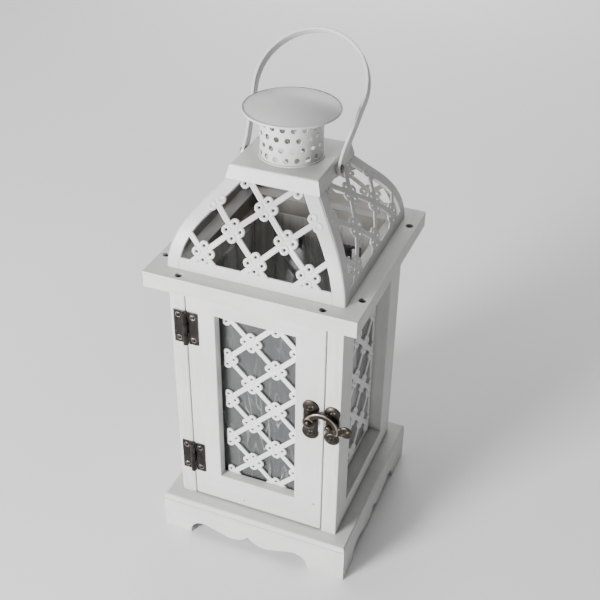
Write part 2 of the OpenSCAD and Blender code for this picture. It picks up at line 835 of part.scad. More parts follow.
module latch_rivet() {
    color(bronze) {
        rod_y(latch_pivot_x, front_y - arm_front - arm_gap - latch_rivet_head_h / 2, latch_pivot_z,
              latch_rivet_r, arm_front + arm_gap + latch_rivet_head_h / 2);
        translate([latch_pivot_x, front_y - arm_front - arm_gap, latch_pivot_z]) rotate([90, 0, 0])
            dome(latch_rivet_head_r, latch_rivet_head_h);
    }
}

// Curved band from the root to the far side of the keeper, with a round finger tab
module latch_arm() {
    far = 3 * latch_curve_r;
    neck_x = arm_curve_x + latch_curve_r;
    neck_angle = atan2(arm_tab_z - arm_curve_z, arm_tab_x - neck_x);
    color(bronze) raised(arm_back, arm_front) difference() {
        union() {
            translate([latch_pivot_x, latch_pivot_z]) circle(arm_root_r);
            translate([arm_curve_x, arm_curve_z]) intersection() {
                difference() {
                    circle(latch_curve_r + latch_arm_w / 2);
                    circle(latch_curve_r - latch_arm_w / 2);
                }
                polygon([[0, 0], far * [cos(arm_end_angle), sin(arm_end_angle)], [far, far], [-far, far],
                         far * [cos(arm_root_angle), sin(arm_root_angle)]]);
            }
            translate([neck_x, arm_curve_z]) rotate(neck_angle) translate([0, -arm_neck_w / 2])
                square([arm_tab_x - neck_x, arm_neck_w]);
            translate([arm_tab_x, arm_tab_z]) circle(arm_tab_r);
        }
        translate([latch_pivot_x, latch_pivot_z]) circle(latch_rivet_r + running_gap, $fn = small_fn);
    }
}

module latch_keeper() {
    color(bronze) {
        raised(0, plate_t) difference() {
            lobed_outline(keeper_x, keeper_z, keeper_lobe_r, keeper_lobe_dz, keeper_waist_w);
            screw_holes(keeper_x, keeper_z, keeper_lobe_dz);
        }
        raised(plate_t, stud_h) translate([stud_x, stud_z]) circle(stud_r);
    }
}

// A pair of screws, above and below the middle of a lobed plate
module plate_screws(x, z, dz) {
    for (side = [-1, 1]) color(bronze) translate([x, front_y - plate_t, z + side * dz])
        dome_screw(latch_screw_r, latch_screw_h, screw_shank_r, screw_shank_l + plate_t - 1);
}

// ---- Nodes ----

base_board();
apron(0);  // apron_front
apron(90);  // apron_right
apron(180);  // apron_back
apron(270);  // apron_left
left_front_stile();
mirror([1, 0, 0]) side_stile(true);  // left_rear_stile
mirror([1, 0, 0]) side_rail(case_z, side_sill_z);  // left_bottom_rail
mirror([1, 0, 0]) side_rail(side_head_z, case_top);  // left_top_rail
right_front_stile();
side_stile(true);  // right_rear_stile
side_rail(case_z, side_sill_z);  // right_bottom_rail
side_rail(side_head_z, case_top);  // right_top_rail
to_back() color(paint) panel_stile(1, case_inner, case_z, case_top);  // back_left_stile
to_back() color(paint) panel_stile(-1, case_inner, case_z, case_top);  // back_right_stile
to_back() panel_rail(case_z, sill_z);  // back_bottom_rail
to_back() panel_rail(head_z, case_top);  // back_top_rail
mirror([1, 0, 0]) side_glass();  // left_glass
side_glass();  // right_glass
to_back() window_glass();  // back_glass
mirror([1, 0, 0]) side_lattice();  // left_lattice
side_lattice();  // right_lattice
to_back() window_lattice();  // back_lattice
door_hinge_stile();
door_latch_stile();
panel_rail(door_z, sill_z);  // door_bottom_rail
panel_rail(head_z, door_top);  // door_top_rail
window_glass();  // door_glass
window_lattice();  // door_lattice
roof_board(0);  // roof_board_front
roof_board(90);  // roof_board_right
roof_board(180);  // roof_board_back
roof_board(270);  // roof_board_left
roof_board_screws();
roof_panel(270);  // roof_panel_front
roof_panel(0);  // roof_panel_right
roof_panel(90);  // roof_panel_back
roof_panel(180);  // roof_panel_left
roof_collar();
chimney();
chimney_cap();
bail_handle();
bail_rivets();
hinge_place(upper_hinge_z) hinge_leaf(-1, [0, 2]);  // upper_hinge_frame_leaf
hinge_place(lower_hinge_z) hinge_leaf(-1, [0, 2]);  // lower_hinge_frame_leaf
hinge_place(upper_hinge_z) hinge_leaf(1, [1]);  // upper_hinge_door_leaf
hinge_place(lower_hinge_z) hinge_leaf(1, [1]);  // lower_hinge_door_leaf
hinge_place(upper_hinge_z) hinge_pin();  // upper_hinge_pin
hinge_place(lower_hinge_z) hinge_pin();  // lower_hinge_pin
hinge_screws(-1);  // frame_hinge_screws
hinge_screws(1);  // door_hinge_screws
latch_plate();
plate_screws(latch_pivot_x, latch_pivot_z, latch_lobe_dz);  // latch_plate_screws
latch_rivet();
latch_arm();
latch_keeper();
plate_screws(keeper_x, keeper_z, keeper_lobe_dz);  // keeper_screws
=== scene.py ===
import math

import bmesh
import bpy
from mathutils import Matrix, Vector


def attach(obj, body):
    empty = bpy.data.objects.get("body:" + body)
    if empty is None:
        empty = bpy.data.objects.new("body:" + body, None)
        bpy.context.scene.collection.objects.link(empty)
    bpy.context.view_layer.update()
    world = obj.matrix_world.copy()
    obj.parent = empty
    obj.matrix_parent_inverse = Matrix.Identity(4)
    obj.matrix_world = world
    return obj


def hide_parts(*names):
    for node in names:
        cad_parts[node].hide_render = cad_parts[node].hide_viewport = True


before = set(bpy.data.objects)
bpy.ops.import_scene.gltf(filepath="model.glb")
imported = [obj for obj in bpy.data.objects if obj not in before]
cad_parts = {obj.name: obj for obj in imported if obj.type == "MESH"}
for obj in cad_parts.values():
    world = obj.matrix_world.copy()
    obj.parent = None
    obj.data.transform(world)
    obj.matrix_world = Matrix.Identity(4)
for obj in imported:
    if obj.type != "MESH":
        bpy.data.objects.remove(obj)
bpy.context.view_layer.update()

# ---------------------------------------------------------------- sizes
# In millimetres, as in the CAD. A rectangle is (left, bottom, right, top).

MM = 0.001

# Wooden case
CASE_HALF = 65.9  # half its outer width
CASE_INNER = 53.9  # half the width between its side frames
CASE_Z = 34.7
CASE_TOP = 236.5
FRAME_T = 12.0
EDGE = 0.9  # radius of the frames' edges
REBATE_DEPTH = 4.5
REBATE_W = 5.5
DOOR = (-53.3, 35.7, 53.3, 235.7)
DOOR_WINDOW = (-31.0, 61.0, 31.0, 215.0)
SIDE_WINDOW = (-42.9, 51.5, 42.9, 219.2)
INSIDE = 54.5  # boards nearer to the middle than this are darker: one thin coat, and painted shade for the dim inside of the case

# Lattice sheets
PITCH = 19.15  # half the distance between two crossings on one level
DISC_OFFSET = 5.1  # from a crossing to the middles of its discs
DISC_R = 3.55
BAR_HALF = 2.0
SHEET = 1.0
SHEET_BACK = -0.95  # height of a drawn bar's back face
DOOR_SHEET = (-28.0, 56.0, 36.0, 220.0)
DOOR_CROSSING = (12.7, 135.9)
DOOR_SHEET_GAP = 0.4  # from the rebate's shoulder to the sheet
SIDE_SHEET = (-42.0, 52.4, 42.0, 218.3)
SIDE_CROSSING = (0.0, 137.5)
SIDE_MARGIN = 3.0

# Metal roof: an arc that turns into a straight slope. A slope length runs up from its foot.
DOME_R = 66.0
DOME_Z = 246.9  # height of the arc's centre
DOME_ANGLE = math.radians(40.5)  # where the straight slope starts
DOME_START = math.asin(2.0 / DOME_R)  # the foot is 2 mm above the centre
ROOF_TOP_HALF = 33.8
ARC_L = DOME_R * (DOME_ANGLE - DOME_START)
SLOPE_L = (DOME_R * math.cos(DOME_ANGLE) - ROOF_TOP_HALF) / math.sin(DOME_ANGLE)
SLOPE_TOTAL = ARC_L + SLOPE_L
ROOF_CROSSING = (0.0, 16.2)  # across, and slope length
BORDER = 9.5  # plain border beside each hip
FOOT_BAND = 9.0  # plain band along the foot
HIP_ROUND = 1.6
HEM = 2.7  # depth of the border's turned-in inner edge
HEM_T = 0.8

# Collar, cap and bail
COLLAR_Z = DOME_Z + DOME_R * math.sin(DOME_ANGLE) + SLOPE_L * math.cos(DOME_ANGLE)
COLLAR_H = 9.8
CAP_LIFT = 33.3  # from the collar's top to the cap's rim
BAIL_Z = COLLAR_Z + 4.55
BAIL_LEAN = math.radians(40)
BAIL_TAB_X = 35.65

# Hinges and latch
HINGE_X = -53.6
HINGE_HEIGHTS = (75.4, 200.0)
HINGE_SCREW_X = 5.8  # from the pin to a screw
HINGE_SCREW_Z = 10  # from a hinge's middle to a screw
LATCH_X = 43.3
LATCH_Z = 145.3
KEEPER_X = 59.9
KEEPER_Z = 144.4
HORN_X = 53.1
HORN_Z = 143.2
HORN_R = 11.0
PIVOT_R = 1.56  # the holes that the latch arm and the bail turn on


# ---------------------------------------------------------------- materials

EVEN = (1, 1, 1)


def new_material(name):
    """A material, its nodes and links, its main shader and its object coordinates."""
    mat = bpy.data.materials.new(name)
    mat.use_nodes = True
    nodes = mat.node_tree.nodes
    links = mat.node_tree.links
    bsdf = nodes["Principled BSDF"]
    coords = nodes.new("ShaderNodeTexCoord").outputs["Object"]
    return mat, nodes, links, bsdf, coords


def noise(nodes, links, coords, scale, detail, rough, stretch=EVEN, offset=(0, 0, 0)):
    mapping = nodes.new("ShaderNodeMapping")
    mapping.inputs["Scale"].default_value = stretch
    mapping.inputs["Location"].default_value = offset
    links.new(coords, mapping.inputs["Vector"])
    tex = nodes.new("ShaderNodeTexNoise")
    tex.inputs["Scale"].default_value = scale
    tex.inputs["Detail"].default_value = detail
    tex.inputs["Roughness"].default_value = rough
    links.new(mapping.outputs["Vector"], tex.inputs["Vector"])
    return tex.outputs["Fac"]


def ramp(nodes, links, fac, stops):
    """Blends between stops of (position, colour)."""
    node = nodes.new("ShaderNodeValToRGB")
    elements = node.color_ramp.elements
    while len(elements) < len(stops):
        elements.new(0.5)
    for element, (pos, value) in zip(elements, stops):
        element.position = pos
        element.color = value if len(value) == 4 else (*value, 1)
    links.new(fac, node.inputs["Fac"])
    return node.outputs["Color"]


def grey(value):
    return (value, value, value, 1)


def mix_colour(nodes, links, fac, a, b, mode="MIX"):
    node = nodes.new("ShaderNodeMix")
    node.data_type = "RGBA"
    node.blend_type = mode
    if isinstance(fac, float):
        node.inputs["Factor"].default_value = fac
    else:
        links.new(fac, node.inputs["Factor"])
    for socket, value in ((node.inputs["A"], a), (node.inputs["B"], b)):
        if isinstance(value, tuple):
            socket.default_value = value
        else:
            links.new(value, socket)
    return node.outputs["Result"]


def math_node(nodes, links, operation, a, b):
    node = nodes.new("ShaderNodeMath")
    node.operation = operation
    for socket, value in ((node.inputs[0], a), (node.inputs[1], b)):
        if isinstance(value, float):
            socket.default_value = value
        else:
            links.new(value, socket)
    return node.outputs[0]


def bump(nodes, links, bsdf, height, distance, strength, under=None):
    """Relief on the surface, on top of the relief under it."""
    node = nodes.new("ShaderNodeBump")
    node.inputs["Distance"].default_value = distance
    node.inputs["Strength"].default_value = strength
    links.new(height, node.inputs["Height"])
    if under is not None:
        links.new(under, node.inputs["Normal"])
    links.new(node.outputs["Normal"], bsdf.inputs["Normal"])
    return node.outputs["Normal"]


def roughness(nodes, links, bsdf, fac, low, high):
    """Roughness that runs from low to high with fac; each is (position, roughness)."""
    stops = [(pos, grey(value)) for pos, value in (low, high)]
    links.new(ramp(nodes, links, fac, stops), bsdf.inputs["Roughness"])


def edge_mask(nodes, links, low, high):
    """1 on outer edges, 0 on flats and in corners."""
    geometry = nodes.new("ShaderNodeNewGeometry")
    return ramp(nodes, links, geometry.outputs["Pointiness"], [(low, grey(0)), (high, grey(1))])


def crevice_mask(nodes, links, distance):
    """1 in inner corners and narrow gaps, 0 in the open: where painted shade goes."""
    node = nodes.new("ShaderNodeAmbientOcclusion")
    node.samples = 4
    node.inputs["Distance"].default_value = distance
    return ramp(nodes, links, node.outputs["AO"], [(0.35, grey(1)), (0.85, grey(0))])


def inside_mask(nodes, links, coords):
    """1 inside the case's walls, 0 outside."""
    parts = nodes.new("ShaderNodeSeparateXYZ")
    links.new(coords, parts.inputs["Vector"])
    along = math_node(nodes, links, "ABSOLUTE", parts.outputs["X"], 0.0)
    across = math_node(nodes, links, "ABSOLUTE", parts.outputs["Y"], 0.0)
    furthest = math_node(nodes, links, "MAXIMUM", along, across)
    return math_node(nodes, links, "LESS_THAN", furthest, INSIDE * MM)


def painted_wood(name, axis, thin_and_shaded_inside):
    """White paint on wood: brush marks and a faint grain run along axis."""
    mat, nodes, links, bsdf, coords = new_material(name + "_" + axis)
    long_way = {"x": (0.07, 1, 1), "y": (1, 0.07, 1), "z": (1, 1, 0.07)}[axis]
    grain = noise(nodes, links, coords, 900, 5.0, 0.6, long_way)
    brush = noise(nodes, links, coords, 330, 3.0, 0.55, long_way, (0.3, 0.1, 0.7))
    cloud = noise(nodes, links, coords, 22, 3.0, 0.5, EVEN, (2.1, 0.4, 1.3))
    speck = noise(nodes, links, coords, 420, 2.0, 0.5, EVEN, (0.7, 3.1, 0.2))
    base = ramp(nodes, links, cloud, [(0.3, (0.60, 0.598, 0.59)), (0.7, (0.67, 0.669, 0.663))])
    streak = ramp(nodes, links, brush, [(0.32, grey(0.93)), (0.62, grey(1.0))])
    base = mix_colour(nodes, links, 0.75, base, streak, "MULTIPLY")
    pores = ramp(nodes, links, grain, [(0.27, grey(0.84)), (0.36, grey(1.0))])
    base = mix_colour(nodes, links, 0.5, base, pores, "MULTIPLY")
    spots = ramp(nodes, links, speck, [(0.74, grey(0)), (0.8, grey(1))])
    base = mix_colour(nodes, links, spots, base, (0.50, 0.47, 0.42, 1))
    thin = math_node(nodes, links, "MULTIPLY", edge_mask(nodes, links, 0.53, 0.6),
                     ramp(nodes, links, brush, [(0.5, grey(0)), (0.66, grey(0.5))]))
    base = mix_colour(nodes, links, thin, base, (0.52, 0.48, 0.42, 1))
    # painted shade: darker in corners and narrow gaps, where less light reaches
    painted_shade = math_node(nodes, links, "MULTIPLY", crevice_mask(nodes, links, 0.004), 0.38)
    base = mix_colour(nodes, links, painted_shade, base, (0.30, 0.28, 0.25, 1))
    # inside the case the boards turn darker: a thin coat, and painted shade for the dim inside
    if thin_and_shaded_inside:
        stops = [(0.3, (0.20, 0.18, 0.155)), (0.7, (0.34, 0.325, 0.30))]
        thin_coat_and_shade = ramp(nodes, links, cloud, stops)
        base = mix_colour(nodes, links, inside_mask(nodes, links, coords), base, thin_coat_and_shade)
    links.new(base, bsdf.inputs["Base Color"])
    roughness(nodes, links, bsdf, brush, (0.3, 0.60), (0.7, 0.44))
    bsdf.inputs["Specular IOR Level"].default_value = 0.4
    first = bump(nodes, links, bsdf, brush, 0.00012, 0.8)
    bump(nodes, links, bsdf, grain, 0.00005, 0.8, first)
    return mat


def thin_painted_wood():
    """The frames' inner faces: one thin, streaky coat, through which the wood shows."""
    mat, nodes, links, bsdf, coords = new_material("thin_painted_wood")
    grain = noise(nodes, links, coords, 420, 5.0, 0.6, (1, 1, 0.06))
    cloud = noise(nodes, links, coords, 26, 4.0, 0.6, (1, 1, 0.5), (1.1, 2.4, 0.3))
    base = ramp(nodes, links, cloud, [(0.3, (0.56, 0.535, 0.50)), (0.7, (0.74, 0.725, 0.70))])
    streak = ramp(nodes, links, grain, [(0.35, grey(0.72)), (0.6, grey(1.0))])
    base = mix_colour(nodes, links, 0.8, base, streak, "MULTIPLY")
    links.new(base, bsdf.inputs["Base Color"])
    roughness(nodes, links, bsdf, grain, (0.3, 0.8), (0.7, 0.6))
    bump(nodes, links, bsdf, grain, 0.0001, 0.8)
    return mat


def painted_metal(name, light, dark, rough):
    """Enamel on thin sheet: soft waves, orange peel, thin spots on the edges and painted shade in
    corners.
    """
    mat, nodes, links, bsdf, coords = new_material(name)
    cloud = noise(nodes, links, coords, 30, 3.0, 0.5)
    peel = noise(nodes, links, coords, 900, 2.0, 0.5, EVEN, (1.7, 0.2, 0.9))
    dent = noise(nodes, links, coords, 45, 2.0, 0.4, EVEN, (0.1, 2.4, 0.6))
    base = ramp(nodes, links, cloud, [(0.3, dark), (0.7, light)])
    wear_and_highlight = math_node(nodes, links, "MULTIPLY", edge_mask(nodes, links, 0.56, 0.66),
                     ramp(nodes, links, peel, [(0.5, grey(0)), (0.62, grey(1))]))
    wear_and_highlight = math_node(nodes, links, "MULTIPLY", wear_and_highlight, 0.35)
    base = mix_colour(nodes, links, wear_and_highlight, base, (0.50, 0.48, 0.45, 1))
    # painted shade: darker in corners and narrow gaps, where less light reaches
    painted_shade = math_node(nodes, links, "MULTIPLY", crevice_mask(nodes, links, 0.003), 0.22)
    base = mix_colour(nodes, links, painted_shade, base, (0.42, 0.41, 0.39, 1))
    links.new(base, bsdf.inputs["Base Color"])
    roughness(nodes, links, bsdf, cloud, (0.3, rough + 0.08), (0.7, rough - 0.06))
    bsdf.inputs["Specular IOR Level"].default_value = 0.45
    first = bump(nodes, links, bsdf, dent, 0.0006, 0.35)
    bump(nodes, links, bsdf, peel, 0.00004, 0.6, first)
    return mat


def antique_bronze(name, dark, bright, amount):
    """Dark plated metal, rubbed bright along its edges by amount."""
    mat, nodes, links, bsdf, coords = new_material(name)
    cloud = noise(nodes, links, coords, 160, 4.0, 0.6)
    fine = noise(nodes, links, coords, 1500, 3.0, 0.6, EVEN, (0.4, 1.9, 0.3))
    lighter = tuple(c * 1.9 for c in dark)
    base = ramp(nodes, links, cloud, [(0.3, dark), (0.7, lighter)])
    edges = edge_mask(nodes, links, 0.52, 0.62)
    patch = ramp(nodes, links, cloud, [(0.45, grey(0.25)), (0.6, grey(1))])
    wear_and_highlight = math_node(nodes, links, "MULTIPLY", edges, patch)
    wear_and_highlight = math_node(nodes, links, "MULTIPLY", wear_and_highlight, amount)
    base = mix_colour(nodes, links, wear_and_highlight, base, (*bright, 1))
    links.new(base, bsdf.inputs["Base Color"])
    bsdf.inputs["Metallic"].default_value = 1.0
    roughness(nodes, links, bsdf, fine, (0.3, 0.46), (0.7, 0.30))
    bump(nodes, links, bsdf, fine, 0.00004, 0.8)
    return mat


def dark_steel():
    """The oxidised screws in the roof boards."""
    mat, nodes, links, bsdf, coords = new_material("dark_steel")
    cloud = noise(nodes, links, coords, 700, 3.0, 0.6)
    links.new(ramp(nodes, links, cloud, [(0.3, (0.045, 0.04, 0.036)), (0.7, (0.11, 0.095, 0.08))]),
              bsdf.inputs["Base Color"])
    bsdf.inputs["Metallic"].default_value = 1.0
    roughness(nodes, links, bsdf, cloud, (0.3, 0.6), (0.7, 0.42))
    bump(nodes, links, bsdf, cloud, 0.00005, 0.8)
    return mat


def filmed_glass(name, tint, film, milk, streaks):
    """A see-through pane under a crinkled film.

    tint colours and dims what shows through: the film's tint, with painted shade for the dim
    inside;
    film is the film's own grey, milk is how much of it covers the pane, and streaks is how
    strongly its creases catch the light."""
    mat, nodes, links, bsdf, coords = new_material(name)
    smear = noise(nodes, links, coords, 28, 4.0, 0.6, (1, 1, 0.5))
    fold = noise(nodes, links, coords, 60, 2.0, 0.5, (1, 1, 0.22), (0.9, 0.3, 1.7))
    fine = noise(nodes, links, coords, 170, 2.0, 0.5, (1, 1, 0.3), (1.9, 0.7, 0.2))
    wide = ramp(nodes, links, fold, [(0.488, grey(0)), (0.5, grey(1)), (0.512, grey(0))])
    narrow = ramp(nodes, links, fine, [(0.49, grey(0)), (0.5, grey(0.4)), (0.51, grey(0))])
    creases = math_node(nodes, links, "ADD", wide, narrow)
    band = noise(nodes, links, coords, 52, 2.0, 0.45, (1, 1, 0.22), (3.1, 1.2, 0.4))
    patch = ramp(nodes, links, smear, [(0.46, grey(0.1)), (0.6, grey(1))])
    creases = math_node(nodes, links, "MULTIPLY", creases, patch)
    # painted highlights: the crease lines are lighter than the film, as glints where the creases
    # catch the light
    base = mix_colour(nodes, links, creases, grey(film), (0.85, 0.85, 0.84, 1))
    links.new(base, bsdf.inputs["Base Color"])
    bsdf.inputs["Specular IOR Level"].default_value = 0.9
    roughness(nodes, links, bsdf, smear, (0.35, 0.05), (0.7, 0.22))
    bump(nodes, links, bsdf, fold, 0.0012, 0.35)
    clear = nodes.new("ShaderNodeBsdfTransparent")
    clear.inputs["Color"].default_value = tint
    fresnel = nodes.new("ShaderNodeFresnel")
    fresnel.inputs["IOR"].default_value = 1.5
    haze = ramp(nodes, links, band, [(0.4, grey(milk)), (0.62, grey(milk * 8))])
    share = math_node(nodes, links, "ADD", fresnel.outputs["Fac"], haze)
    glints = math_node(nodes, links, "MULTIPLY", creases, streaks)
    share = math_node(nodes, links, "ADD", share, glints)
    mix = nodes.new("ShaderNodeMixShader")
    links.new(share, mix.inputs["Fac"])
    links.new(clear.outputs["BSDF"], mix.inputs[1])
    links.new(bsdf.outputs["BSDF"], mix.inputs[2])
    links.new(mix.outputs["Shader"], nodes["Material Output"].inputs["Surface"])
    return mat


def pale_floor():
    """White floor that glows a little away from the lantern, as a lit backdrop would: painted
    light, weaker near the lantern, so the floor there stays darker.
    """
    mat, nodes, links, bsdf, coords = new_material("pale_floor")
    cloud = noise(nodes, links, coords, 3, 2.0, 0.5)
    base = ramp(nodes, links, cloud, [(0.3, grey(0.95)), (0.7, grey(0.97))])
    links.new(base, bsdf.inputs["Base Color"])
    bsdf.inputs["Roughness"].default_value = 0.85
    bsdf.inputs["Emission Color"].default_value = (1, 1, 1, 1)
    # painted light: emission that grows with distance from the lantern
    far = nodes.new("ShaderNodeVectorMath")
    far.operation = "LENGTH"
    links.new(coords, far.inputs[0])
    glow = nodes.new("ShaderNodeMapRange")
    glow.interpolation_type = "SMOOTHSTEP"
    glow_range = {"From Min": 0.05, "From Max": 0.5, "To Min": 0.0, "To Max": 0.15}  # metres
    for socket, value in glow_range.items():
        glow.inputs[socket].default_value = value
    links.new(far.outputs["Value"], glow.inputs["Value"])
    links.new(glow.outputs["Result"], bsdf.inputs["Emission Strength"])
    return mat


WOOD = {axis: painted_wood("painted_wood", axis, False) for axis in "xyz"}
BOARD_WOOD = {axis: painted_wood("painted_board", axis, True) for axis in "xy"}
# the roof sheets' inner faces are darker: a dull coat, and painted shade for the dim inside of the
# roof
INNER_METAL = painted_metal("inner_metal", (0.34, 0.32, 0.30), (0.25, 0.235, 0.22), 0.5)
INNER_WOOD = thin_painted_wood()
ENAMEL = painted_metal("painted_metal", (0.67, 0.67, 0.665), (0.60, 0.60, 0.595), 0.42)
LATTICE_PAINT = painted_metal("lattice_paint", (0.80, 0.80, 0.795), (0.72, 0.72, 0.715), 0.38)
BRONZE = antique_bronze("antique_bronze", (0.026, 0.0225, 0.0195), (0.36, 0.30, 0.23), 0.75)
HINGE_BRONZE = antique_bronze("hinge_bronze", (0.023, 0.021, 0.020), (0.20, 0.185, 0.17), 0.5)
RIVET_BROWN = antique_bronze("rivet_brown", (0.13, 0.105, 0.09), (0.42, 0.37, 0.33), 0.9)
# lighter bronze: wear, and on the latch arm's ridge a painted highlight
WORN_AND_HIGHLIT_BRONZE = antique_bronze("worn_and_highlit_bronze", (0.15, 0.132, 0.112), (0.60, 0.54, 0.45), 1.0)
STEEL = dark_steel()
# tints darker than clear glass: painted shade for the dim inside seen through the panes
DOOR_GLASS = filmed_glass("door_glass", (0.60, 0.61, 0.615, 1), 0.26, 0.012, 0.3)
SIDE_GLASS = filmed_glass("side_glass", (0.70, 0.705, 0.705, 1), 0.5, 0.05, 0.3)
HAZY_GLASS = filmed_glass("hazy_glass", (0.74, 0.745, 0.745, 1), 0.72, 0.11, 0.3)


# ---------------------------------------------------------------- mesh helpers

def new_object(name, data):
    thing = bpy.data.objects.new(name, data)
    bpy.context.scene.collection.objects.link(thing)
    return thing


def add_piece(name, bm, materials, body, nodes=(), sharp=35.0, second=None):
    """Turns bm into a piece that rides on body and stands for the CAD nodes.

    Edges bent by more than sharp degrees stay hard. Faces that second picks take the
    second material."""
    bmesh.ops.remove_doubles(bm, verts=bm.verts, dist=1e-7)
    bmesh.ops.recalc_face_normals(bm, faces=bm.faces)
    for face in bm.faces:
        face.smooth = True
        if second is not None and second(face):
            face.material_index = 1
    limit = math.radians(sharp)
    for edge in bm.edges:
        if len(edge.link_faces) == 2 and edge.calc_face_angle(0.0) > limit:
            edge.smooth = False
    mesh = bpy.data.meshes.new(name)
    bm.to_mesh(mesh)
    bm.free()
    for material in materials:
        mesh.materials.append(material)
    piece = new_object(name, mesh)
    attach(piece, body)
    if nodes:
        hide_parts(*nodes)


def skin(bm, rows, close_rows=False, close_loop=True, caps=False):
    """Quads between neighbouring rows of vertices."""
    count = len(rows[0])
    pairs = list(zip(rows, rows[1:]))
    if close_rows:
        pairs.append((rows[-1], rows[0]))
    for a, b in pairs:
        for i in range(count if close_loop else count - 1):
            j = (i + 1) % count
            quad = [a[i], a[j], b[j], b[i]]
            if len(set(quad)) == 4:
                bm.faces.new(quad)
    if caps:
        bm.faces.new(rows[0])
        bm.faces.new(rows[-1])


def spin(bm, loop, steps, point, first=0.0):
    """Rows of vertices: a loop of (radius, height) at each step of a full turn."""
    rows = []
    for k in range(steps):
        a = 2 * math.pi * (k + first) / steps
        rows.append([bm.verts.new(point(a, r, h)) for r, h in loop])
    return rows


def turn(bm, place, cu, cv, loop, steps=20):
    """A solid turned about the normal at (cu, cv) from a closed loop of (radius, height)."""
    def point(a, r, h):
        return place(cu + r * math.cos(a), cv + r * math.sin(a), h)

    skin(bm, spin(bm, loop, steps, point, 0.5), close_rows=True)


def sweep(bm, place, path, section):
    """A closed section of (across, height) along path, a list of (u, v, width factor)."""
    rows = []
    for k, (u, v, wide) in enumerate(path):
        before = path[max(0, k - 1)]
        after = path[min(len(path) - 1, k + 1)]
        du, dv = after[0] - before[0], after[1] - before[1]
        size = math.hypot(du, dv)
        nu, nv = -dv / size, du / size
        rows.append([bm.verts.new(place(u + nu * t * wide, v + nv * t * wide, h))
                     for t, h in section])
    skin(bm, rows, caps=True)


def arc(cu, cv, r, a0, a1, steps):
    """Points on an arc from a0 to a1 degrees."""
    angles = [math.radians(a0 + (a1 - a0) * i / steps) for i in range(steps + 1)]
    return [(cu + r * math.cos(a), cv + r * math.sin(a)) for a in angles]


def plate(bm, place, outline, high, edge):
    """An outline raised to high, with its upper edge rounded by edge."""
    steps = 3
    count = len(outline)
    rows = []
    levels = [(0.0, 0.0)]
    for i in range(steps + 1):
        a = math.pi / 2 * i / steps
        levels.append((edge * (1 - math.cos(a)), high - edge + edge * math.sin(a)))
    for inset, height in levels:
        row = []
        for i, (u, v) in enumerate(outline):
            a, b = outline[i - 1], outline[(i + 1) % count]
            du, dv = b[0] - a[0], b[1] - a[1]
            size = math.hypot(du, dv) or 1.0
            row.append(bm.verts.new(place(u - dv / size * inset, v + du / size * inset, height)))
        rows.append(row)
    skin(bm, rows, caps=True)


def front(u, v, h):
    """A point h in front of the case's front face."""
    return Vector((u, -CASE_HALF - h, v)) * MM


# ---------------------------------------------------------------- wooden frames

def frame_piece(name, body, nodes, place, outer, window, lip, rebate, grains):
    """Four joined members painted over as one.

    outer and window are rectangles. The opening is as wide as window for lip of the
    thickness, then wider by rebate. grains are the axes of the rails and of the stiles."""
    turns = [math.radians(22.5 * i) for i in range(5)]
    ease = EDGE + 0.3  # width of the strip beside an edge, which carries its shading
    rim = [(0.0, -ease)]
    rim += [(EDGE - EDGE * math.cos(a), EDGE * math.sin(a) - EDGE) for a in turns]
    rim += [(ease, 0.0)]
    back = [(ease, -FRAME_T)]
    back += [(EDGE - EDGE * math.sin(a), EDGE - EDGE * math.cos(a) - FRAME_T) for a in turns]
    opening = [(ease, 0.0)]
    opening += [(EDGE - EDGE * math.sin(a), EDGE * math.cos(a) - EDGE) for a in turns]
    opening += [(0.0, -ease), (0.0, -lip)]
    if rebate:
        opening += [(rebate, -lip), (rebate, -FRAME_T)]
    bm = bmesh.new()
    rows = []
    for a, b in ((-1, -1), (1, -1), (1, 1), (-1, 1)):
        edge = (outer[0] if a < 0 else outer[2], outer[1] if b < 0 else outer[3])
        hole = (window[0] if a < 0 else window[2], window[1] if b < 0 else window[3])
        points = [(edge[0] - a * t, edge[1] - b * t, h) for t, h in rim]
        points += [(hole[0] + a * t, hole[1] + b * t, h) for t, h in opening]
        points += [(edge[0] - a * t, edge[1] - b * t, h) for t, h in back]
        rows.append([bm.verts.new(place(*p)) for p in points])
    skin(bm, rows, close_rows=True)
    per_member = len(rows[0])
    inner_face = len(rim) + len(opening) - 1
    for k, face in enumerate(bm.faces):
        face.material_index = 2 if k % per_member == inner_face else (k // per_member) % 2
    materials = [WOOD[grains[0]], WOOD[grains[1]], INNER_WOOD]
    add_piece(name, bm, materials, body, nodes)


def wooden_frames():
    """The door, the back panel and the two side frames."""
    def back_face(u, v, h):
        return Vector((-u, CASE_HALF + h, v)) * MM

    rails = ["bottom_rail", "top_rail"]
    lip = FRAME_T - REBATE_DEPTH
    nodes = ["door_" + m for m in ["hinge_stile", "latch_stile"] + rails]
    frame_piece("door_frame", "door", nodes, front, DOOR, DOOR_WINDOW, lip, REBATE_W, "xz")
    nodes = ["back_" + m for m in ["left_stile", "right_stile"] + rails]
    outer = (-CASE_INNER, CASE_Z, CASE_INNER, CASE_TOP)
    frame_piece("back_frame", "case", nodes, back_face, outer, DOOR_WINDOW, lip, REBATE_W, "xz")
    outer = (-CASE_HALF, CASE_Z, CASE_HALF, CASE_TOP)
    for side, way in (("right", 1), ("left", -1)):
        def side_face(u, v, h, way=way):
            return Vector((way * (CASE_HALF + h), u, v)) * MM

        nodes = [side + "_" + m for m in ["front_stile", "rear_stile"] + rails]
        frame_piece(side + "_frame", "case", nodes, side_face, outer, SIDE_WINDOW,
                    FRAME_T, 0.0, "yz")


# ---------------------------------------------------------------- lattice

